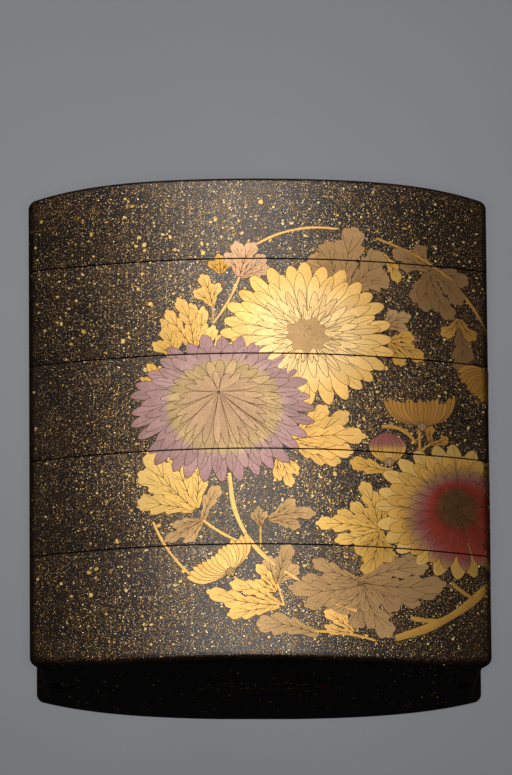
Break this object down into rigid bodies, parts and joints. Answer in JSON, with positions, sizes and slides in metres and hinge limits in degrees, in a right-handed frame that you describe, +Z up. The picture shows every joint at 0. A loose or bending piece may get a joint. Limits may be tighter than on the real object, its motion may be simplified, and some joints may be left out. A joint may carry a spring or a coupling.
{
  "type": "inro case",
  "caption": "Small flat lacquered case, convex front and back, built of stacked sections that nest on thin risers under a lift-off lid, with a cord channel in each side.",
  "frame": {"origin": "centre of the flat strip down the back, on the surface the case lies on", "axes": "+X to the right across the width seen from the front, +Y from the foot to the lid, +Z up out of the decorated front face"},
  "size_m": [0.06, 0.0682, 0.023],
  "materials": {
    "sprinkled_lacquer": "thin wood under polished black-brown lacquer, evenly sprinkled with fine gold dust",
    "gold_flake": "loose flat flakes of gold laid in the lacquer and polished level",
    "pale_gold_powder": "pale gold powder, burnished satin",
    "rich_gold_powder": "deep yellow gold powder, burnished satin",
    "brown_gold_powder": "thin gold powder over brown lacquer, satin",
    "mauve_powder": "mauve lacquer powder with a little gold, satin",
    "red_powder": "red lacquer powder fading into gold, satin",
    "dark_line": "fine lines left in dark brown lacquer"
  },
  "bodies": {
    "root": {"lid": "sprinkled_lacquer", "upper_tray": "sprinkled_lacquer", "middle_tray": "sprinkled_lacquer", "lower_tray": "sprinkled_lacquer", "bottom_case": "sprinkled_lacquer"}
  },
  "joints": []
}
